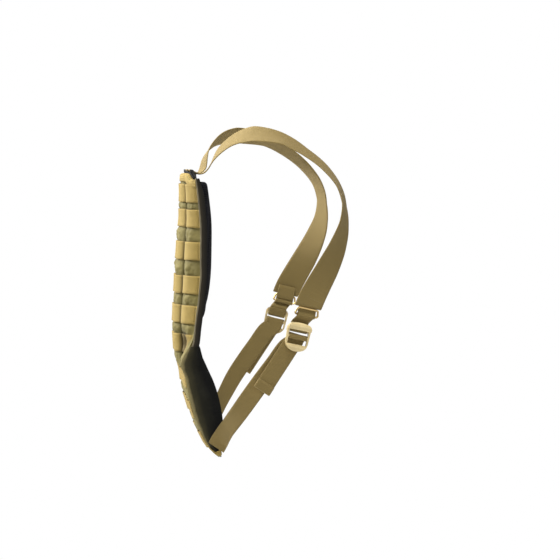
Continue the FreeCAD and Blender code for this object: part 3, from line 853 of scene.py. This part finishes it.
def make_gusset(side, hand):
    """Side wall of the lower pouch, slack in its middle, with piping near the shell."""
    levels = 120
    name = f"side_gusset_{hand}"
    low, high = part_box(name)
    middle_y = (low[1] + high[1]) / 2
    shares = spread(0.0, 1.0, 29)
    grid, area = [], 0.0
    for z in spread(high[2], low[2], levels):
        rear, front = side_faces(name, z)
        wide = (front - rear) / (40 * MM)
        line = []
        for t in shares:
            x = between(rear, front, t)
            arch = math.sin(math.pi * t)
            fold = arch * wide * (1.0 + 4.5 * wobble(Vector((x, 0, z)), 24 * MM, 4.0 + side))
            fold += 2.2 * wide * arch * math.sin(2 * math.pi * (1.3 * t + z / (95 * MM)))
            piping = 1.6 * bell(t * (front - rear) - 2.6 * MM, 1.9 * MM)
            x -= corner_fold(z) * max(0.0, 1 - t / 0.55) ** 1.5
            line.append(Vector((x, middle_y + side * (piping - fold * 0.8) * MM, z)))
        grid.append(line if side > 0 else line[::-1])
        area += (front - rear) * (high[2] - low[2]) / levels
    if side < 0:
        shares = shares[::-1]
    size = (area / (high[2] - low[2]), high[2] - low[2])
    piece = fabric(f"gusset_fabric_{hand}", grid, 1.2 * MM, "gusset", HARNESS, size)
    # The share across the wall picks its painted shade from the gusset's bands.
    mark(piece, "across", sheet_values(grid, lambda i, j: shares[j]))
    stands_for(name)


def make_hem():
    """Tape folded up over the bottom edge, and closed over the gussets' ends."""
    low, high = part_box("bottom_hem")
    floor = shell_low[2]
    outline = [(shell_x(0, z) - 2.2 * MM, z) for z in spread(high[2] + 3 * MM, floor + 4 * MM, 7)]
    outline += [
        (shell_x(0, floor) - 0.8 * MM, low[2] + 4.6 * MM),
        (between(shell_x(0, floor), panel_front_x(0, floor), 0.5), low[2] + 3.6 * MM),
        (panel_front_x(0, floor) - 0.8 * MM, low[2] + 4.8 * MM),
        (panel_front_x(0, floor + 5 * MM) + 1.2 * MM, floor + 6.0 * MM),
        (panel_front_x(0, floor + 9 * MM) + 1.6 * MM, floor + 10.0 * MM),
    ]
    middle = (sum(x for x, _ in outline) / len(outline), sum(z for _, z in outline) / len(outline))
    reach = HALF + 3.6 * MM
    columns = [(-reach, 0.04), (-reach, 0.5), (-reach + 0.4 * MM, 0.86), (-reach + 1.2 * MM, 1.0)]
    columns += [(y, 1.0) for y in spread(-HALF, HALF, 60)]
    columns += [(-y, share) for y, share in columns[3::-1]]
    grid = []
    for x, z in outline:
        line = []
        for y, share in columns:
            wave = 0.35 * MM * wobble(Vector((0, y, z)), 15 * MM, 6.0)
            line.append(Vector((between(middle[0], x, share) + wave, y, between(middle[1], z, share))))
        grid.append(line)
    length = sum(math.hypot(b[0] - a[0], b[1] - a[1]) for a, b in zip(outline, outline[1:]))
    size, thick = (2 * HALF + 24 * MM, length), 1.2 * MM
    sew(HARNESS, grid, 1, thick)
    piece = fabric("hem_tape", grid, thick, "rows", HARNESS, size)
    stands_for("bottom_hem")


# ---------------------- straps
RING_ORIGIN = Vector((65.9, -159.0, -240.5))
RING_OUT = Vector((0.2, -0.98, 0.0)).normalized()
RING_SIDE = Vector((0.955, 0.195, -0.221))
RING_SIDE = (RING_SIDE - RING_OUT * RING_SIDE.dot(RING_OUT)).normalized()
RING_UP = RING_OUT.cross(RING_SIDE)
LOCK_BELOW, LOCK_ASIDE, LOCK_PROUD = 41.1, -7.1, 3.0
WIDE, NARROW = 38.0, 25.4
STRAP_THICK, WEB_THICK = 1.5 * MM, 1.4 * MM


def at_ring(x, y, z):
    """A place given from the ring, in millimetres: along its bars, up the strap and outwards."""
    return RING_ORIGIN + RING_SIDE * x + RING_UP * y + RING_OUT * z


def at_lock(x, y, z):
    """The same from the ladder lock's middle bar."""
    return at_ring(LOCK_ASIDE + x, -LOCK_BELOW + y, LOCK_PROUD + z)


# Over the shoulder: (x, y, z) and the way the webbing faces, from the pouch mouth to the ring.
SHOULDER = [
    ((-85.4, -45, -51.3), (0.30, 0, 0.95)),
    ((-77.8, -45, -53.8), (0.02, 0, 1)),
    ((-71.0, -45.5, -51.8), (-0.45, 0, 0.88)),
    ((-65, -48, -45.5), (-0.60, -0.05, 0.75)),
    ((-53, -58, -24), (-0.66, -0.18, 0.70)),
    ((-31, -76, -5), (-0.40, -0.40, 0.82)),
    ((-10, -92, 2), (-0.12, -0.60, 0.79)),
    ((11, -104, 1), (0.14, -0.58, 0.80)),
    ((38, -112, -6), (0.36, -0.43, 0.83)),
    ((66, -119, -23), (0.60, -0.36, 0.71)),
    ((93, -126, -45), (0.78, -0.32, 0.54)),
    ((112, -132, -71), (0.93, -0.27, 0.25)),
    ((119, -136, -97), (0.97, -0.26, 0.02)),
    ((118, -141, -124), (0.90, -0.44, -0.05)),
    ((109, -147, -153), (0.72, -0.69, -0.08)),
    ((95, -152, -182), (0.50, -0.86, -0.05)),
    ((81, -156, -207), (0.36, -0.93, 0.00)),
]
# From the lock round the waist to the pouch's bottom corner, in the same way.
WAIST = [
    ((36, -157, -294), (0.14, -0.99, 0.00)),
    ((20, -156.5, -316), (0.04, -1.00, -0.02)),
    ((3, -154.5, -339), (-0.12, -0.99, -0.04)),
    ((-13, -150, -362), (-0.28, -0.96, -0.06)),
    ((-28, -136, -386), (-0.48, -0.86, -0.08)),
    ((-42.5, -112, -411), (-0.70, -0.70, -0.10)),
    ((-50.2, -90.3, -428.0), (-0.50, -0.84, -0.20)),
    ((-53.4, -84.5, -434.7), (-0.08, -1.00, -0.05)),
    ((-57.0, -83.0, -442.0), (0, -1, 0)),
]


def smooth_run(stations, step):
    """Closer stations along a smooth curve through the given ones (Catmull-Rom), with blended normals."""
    points = [Vector(s[0]) for s in stations]
    normals = [Vector(s[1]).normalized() for s in stations]
    run = []
    for i in range(len(points) - 1):
        p1, p2 = points[i], points[i + 1]
        p0 = points[i - 1] if i else p1 * 2 - p2
        p3 = points[i + 2] if i + 2 < len(points) else p2 * 2 - p1
        t01, t12, t23 = ((b - a).length ** 0.5 for a, b in ((p0, p1), (p1, p2), (p2, p3)))
        m1 = (p1 - p0) / t01 - (p2 - p0) / (t01 + t12) + (p2 - p1) / t12
        m2 = (p2 - p1) / t12 - (p3 - p1) / (t12 + t23) + (p3 - p2) / t23
        m1, m2 = m1 * t12, m2 * t12
        count = max(1, round((p2 - p1).length / step))
        for k in range(count):
            t = k / count
            place = (
                p1 * (2 * t**3 - 3 * t**2 + 1) + m1 * (t**3 - 2 * t**2 + t)
                + p2 * (3 * t**2 - 2 * t**3) + m2 * (t**3 - t**2)
            )
            run.append((place, normals[i].lerp(normals[i + 1], t)))
    run.append((points[-1], normals[-1]))
    return run


def strap_grid(run, width, columns=13, cup=0.0, end_side=None, ripple=0.25, seed=0.0):
    """Grid across and along a strap. cup lifts its edges towards the outside, and end_side is the
    direction across the strap that its last stations turn to."""
    grid = []
    length = 0.0
    for i, (centre, normal) in enumerate(run):
        ahead, behind = run[min(i + 1, len(run) - 1)][0], run[max(i - 1, 0)][0]
        along = (ahead - behind).normalized()
        side = along.cross(normal).normalized()
        if end_side is not None and i > len(run) - 4:
            aim = end_side if end_side.dot(side) > 0 else -end_side
            side = side.lerp(aim, (i - len(run) + 4) / 3).normalized()
        out = side.cross(along).normalized()
        if i:
            length += (centre - run[i - 1][0]).length
        line = []
        for t in spread(-1.0, 1.0, columns):
            wave = ripple * wobble(Vector((t * 0.3, length / 30, seed)), 1.0)
            line.append((centre + side * (t * width / 2) + out * (cup * t * t + wave)) * MM)
        grid.append(line)
    return grid, length * MM


def handed(grid, side):
    """The grid itself for the right side, or its mirror image, turned so that it still faces outwards."""
    if side < 0:
        return grid
    return [mirrored(line)[::-1] for line in grid]


def turned_out(grid, side):
    """The grid with its lines reversed if its normals don't point outwards at the lock."""
    towards = Vector((RING_OUT.x, RING_OUT.y * -side, RING_OUT.z))
    middle = len(grid) // 2
    normal = grid_normals(grid)[middle][len(grid[0]) // 2]
    return grid if normal.dot(towards) > 0 else [line[::-1] for line in grid]


def far_fall(stations):
    """The left strap sits a little further back from the pouch's top to the top of the shoulder."""
    # forward and up, by place in the list of stations
    shifts = {
        3: (-2.5, 0.0), 4: (-8.0, 1.0), 5: (-12.0, 1.0),
        6: (-11.0, 0.5), 7: (-6.0, 0.0), 8: (-2.0, 0.0),
    }
    moved = []
    for i, (place, normal) in enumerate(stations):
        along, up = shifts.get(i, (0.0, 0.0))
        moved.append(((place[0] + along, place[1], place[2] + up), normal))
    return moved


def make_shoulder_strap(side, hand):
    """Wide strap from the pouch's mouth over the shoulder to the ring."""
    name = f"shoulder_strap_{hand}"
    route = SHOULDER if side < 0 else far_fall(SHOULDER)
    sewn = [((-92.0, -45, -47.8), (0.42, 0, 0.9))]
    ending = [(at_ring(1.5, 15.0, 0.95), RING_OUT), (at_ring(-1.0, 2.2, 0.95), RING_OUT)]
    run = smooth_run(sewn + route + ending, 3.0)
    grid, length = strap_grid(run, WIDE, 15, 0.5, RING_SIDE, 0.3, 1.0 + side)
    grid = handed(grid, side)
    for row in (1, 3, -2, -5):
        sew(HARNESS, grid, row, STRAP_THICK)
    size = (WIDE * MM, length)
    piece = fabric(f"shoulder_webbing_{hand}", grid, STRAP_THICK, "strap", HARNESS, size)
    stands_for(name)


def make_lower_strap(side, hand):
    """Narrow strap from the ladder lock to the pouch's bottom corner."""
    name = f"lower_strap_{hand}"
    start = [(at_lock(0, 3.8, -8.0), RING_OUT), (at_lock(-1.6, -9.0, -8.9), RING_OUT)]
    sewn_across = Vector((0.82, 0, -0.57))
    run = smooth_run(start + WAIST, 3.0)
    grid, length = strap_grid(run, NARROW, 11, 0.3, sewn_across, 0.3, 4.0 + side)
    grid = handed(grid, side)
    for row in (-2, -5):
        sew(HARNESS, grid, row, STRAP_THICK)
    size = (NARROW * MM, length)
    piece = fabric(f"waist_webbing_{hand}", grid, STRAP_THICK, "strap", HARNESS, size)
    stands_for(name)


TAIL_TURN, TAIL_LEAN, TAIL_LENGTH, TAIL_FOLD, TAIL_GAP = 20.3, 4.5, 89.0, 12.0, 5.0


def make_tail(side, hand):
    """Free end of the strap behind the lock, folded back at its tip and sewn."""
    turn, lean = math.radians(TAIL_TURN), math.radians(TAIL_LEAN)
    flat = -RING_SIDE * math.sin(turn) - RING_UP * math.cos(turn)
    way = flat * math.cos(lean) - RING_OUT * math.sin(lean)
    across = flat.cross(RING_OUT)
    out = across.cross(way)
    start = at_lock(0, 0.5, -TAIL_GAP)
    tip = start + way * TAIL_LENGTH
    fold_back = tip + out * 1.7
    run = [(start.lerp(tip, share), out) for share in spread(0.0, 1.0, 31)]
    run.append((tip + way * 0.8 + out * 0.85, way))
    run += [(fold_back - way * back, -out) for back in spread(0.0, TAIL_FOLD, 5)]
    grid = []
    for i, (centre, _) in enumerate(run):
        line = []
        for t in spread(-1.0, 1.0, 11):
            wave = 0.35 * wobble(Vector((t * 0.3, i / 8, 0)), 1.0, 8.0 + side)
            line.append((centre + across * (t * NARROW / 2) + out * wave) * MM)
        grid.append(line)
    grid = handed(grid, side)
    sew(f"tail_{hand}", grid, 26, WEB_THICK)
    size = (NARROW * MM, (TAIL_LENGTH + TAIL_FOLD + 2) * MM)
    piece = fabric(f"tail_webbing_{hand}", grid, WEB_THICK, "strap", f"tail_{hand}", size)
    stands_for(f"strap_tail_{hand}")


def make_lock_wrap(side, hand):
    """Webbing over the lock's middle bar."""
    radius = 3.1
    line = [(radius, -3.4), (radius, -1.7)]
    line += [(radius * math.cos(a), radius * math.sin(a)) for a in spread(0.0, math.pi, 9)]
    line += [(-radius, -1.7), (-radius, -3.4)]
    grid = []
    for y, z in line:
        grid.append([at_lock(t * NARROW / 2, y, z) * MM for t in spread(-1.0, 1.0, 11)])
    grid = handed(grid, side)
    size = (NARROW * MM, grid_length(grid))
    grid = turned_out(grid, side)
    piece = fabric(f"wrap_webbing_{hand}", grid, WEB_THICK, "strap", f"lock_{hand}", size)
    stands_for(f"lock_wrap_{hand}")


STRAP_BACK = -2.65        # centre plane of the keeper's ply behind the strap's end
BAR_DROP = 9.5            # ring bar in the keeper, below the strap's end
BAR_TURN = 2.3            # radius of the keeper's turn round that bar
PIN_Y, PIN_Z, PIN_TURN = -31.6, 0.0, 2.55


def make_keeper(side, hand):
    """Webbing behind the strap's end, closed round the ring's base bar."""
    line = [(14.5, STRAP_BACK), (8.0, STRAP_BACK), (1.0, STRAP_BACK), (-4.5, STRAP_BACK)]
    for a in spread(math.radians(28), math.radians(332), 15):
        line.append((-BAR_DROP + BAR_TURN * math.cos(a), STRAP_BACK + BAR_TURN * math.sin(a)))
    grid = [[at_ring(t * NARROW / 2, y, z) * MM for t in spread(-1.0, 1.0, 11)] for y, z in line]
    grid = handed(grid, side)
    size = (NARROW * MM, grid_length(grid))
    piece = fabric(f"keeper_webbing_{hand}", grid, WEB_THICK, "strap", HARNESS, size)
    stands_for(f"ring_keeper_{hand}")


def make_short_web(side, hand):
    """Narrow web from behind the strap's end, over the keeper and round the lock's pin."""
    line = [(11, -0.85), (2, -0.85), (-2.5, -0.55), (-9.5, 1.65), (-12.5, 1.05), (-16.5, -1.55)]
    line.append((-20.6, -4.0))
    line += [
        (PIN_Y - PIN_TURN * math.sin(math.radians(a)), PIN_Z + PIN_TURN * math.cos(math.radians(a)))
        for a in range(-32, 181, 30)
    ]
    line += [(PIN_Y + 5, -3.1), (PIN_Y + 8, -4.8), (PIN_Y + 10, -6.1)]
    drift = [(11.0, 0.0), (0.0, 0.0), (-9.5, -0.85), (-19.6, -6.0), (-31.6, -7.1), (-40.0, -7.1)]

    def aside(y):
        for (y0, x0), (y1, x1) in zip(drift, drift[1:]):
            if y1 <= y <= y0:
                return between(x0, x1, (y0 - y) / (y0 - y1))
        return 0.0

    stations = [(Vector((aside(y), y, z)), Vector((0, 0, 1))) for y, z in line]
    grid = []
    reach = NARROW / 2 - 0.6
    for place, _ in smooth_run(stations, 2.0):
        grid.append([at_ring(place.x + t * reach, place.y, place.z) * MM for t in spread(-1.0, 1.0, 11)])
    grid = handed(grid, side)
    size = (NARROW * MM, grid_length(grid))
    piece = fabric(f"link_webbing_{hand}", grid, WEB_THICK, "strap", HARNESS, size)
    stands_for(f"short_web_{hand}")


def paint(node, look):
    """Gives a CAD node that stays a finished material."""
    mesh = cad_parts[node].data
    for k in range(len(mesh.materials)):
        mesh.materials[k] = LOOKS[look]
    if not mesh.materials:
        mesh.materials.append(LOOKS[look])


# ---------------------- studio
def add_light(name, place, aim, size, power):
    data = bpy.data.lights.new(name, "AREA")
    data.shape = "DISK"
    data.size = size
    data.energy = power
    lamp = bpy.data.objects.new(name, data)
    lamp.location = place
    lamp.rotation_euler = (Vector(place) - Vector(aim)).to_track_quat("Z", "Y").to_euler()
    link(lamp)


def background_share(tree):
    """1 for rays that should see the white background: from the camera, and mirrored or passed through."""
    path = tree.nodes.new("ShaderNodeLightPath")
    total = path.outputs["Is Camera Ray"]
    for name in ("Is Glossy Ray", "Is Transmission Ray"):
        add = tree.nodes.new("ShaderNodeMath")
        add.operation = "MAXIMUM"
        tree.links.new(total, add.inputs[0])
        tree.links.new(path.outputs[name], add.inputs[1])
        total = add.outputs[0]
    return total


def blend_for_rays(tree, plain, white, output):
    """Joins two shaders to the output: white for rays that see the background, plain for the others."""
    blend = tree.nodes.new("ShaderNodeMixShader")
    tree.links.new(background_share(tree), blend.inputs[0])
    tree.links.new(plain.outputs[0], blend.inputs[1])
    tree.links.new(white.outputs[0], blend.inputs[2])
    tree.links.new(blend.outputs[0], output.inputs[0])


def make_world():
    """White background for the camera, and weak light from all round for the part."""
    world = bpy.data.worlds.new("studio")
    bpy.context.scene.world = world
    world.use_nodes = True
    tree = world.node_tree
    plain = tree.nodes["Background"]
    white = tree.nodes.new("ShaderNodeBackground")
    for node, strength in ((plain, 0.22), (white, 1.0)):
        node.inputs[0].default_value = (1.0, 1.0, 1.0, 1.0)
        node.inputs[1].default_value = strength
    blend_for_rays(tree, plain, white, tree.nodes["World Output"])


def make_floor():
    """Pale floor, well below the pack. The camera sees it as white background."""
    mesh = bpy.data.meshes.new("floor")
    half, level = 9.0, -1.3
    corners = [(-half, -half, level), (half, -half, level), (half, half, level), (-half, half, level)]
    mesh.from_pydata(corners, [], [(0, 1, 2, 3)])
    material = bpy.data.materials.new("floor")
    material.use_nodes = True
    tree = material.node_tree
    plain = tree.nodes["Principled BSDF"]
    plain.inputs["Base Color"].default_value = (0.85, 0.85, 0.85, 1.0)
    plain.inputs["Roughness"].default_value = 0.9
    glow = tree.nodes.new("ShaderNodeEmission")
    blend_for_rays(tree, plain, glow, tree.nodes["Material Output"])
    mesh.materials.append(material)
    floor = bpy.data.objects.new("floor", mesh)
    link(floor)


# ---------------------- the object
make_shell()
make_rows()
make_tacks()
make_mouth_tape()
make_panel()
make_pad()
make_hem()
for side, hand in ((-1, "right"), (1, "left")):
    make_edge_binding(side, hand)
    make_gusset(side, hand)
    make_shoulder_strap(side, hand)
    make_lower_strap(side, hand)
    make_tail(side, hand)
    make_lock_wrap(side, hand)
    paint(f"wire_ring_{hand}", "ring")
    paint(f"ladder_lock_{hand}", "lock")
    make_keeper(side, hand)
    make_short_web(side, hand)
make_stitches()

make_world()
make_floor()
add_light("key", (-2.3, 1.5, 1.3), (0.0, 0.0, -0.2), 1.0, 185.0)
add_light("top", (-0.4, -0.8, 2.6), (0.0, 0.0, -0.1), 1.4, 95.0)
add_light("fill", (0.8, -2.8, 0.3), (0.0, 0.0, -0.2), 1.8, 12.0)

bpy.context.scene.view_settings.view_transform = "Standard"
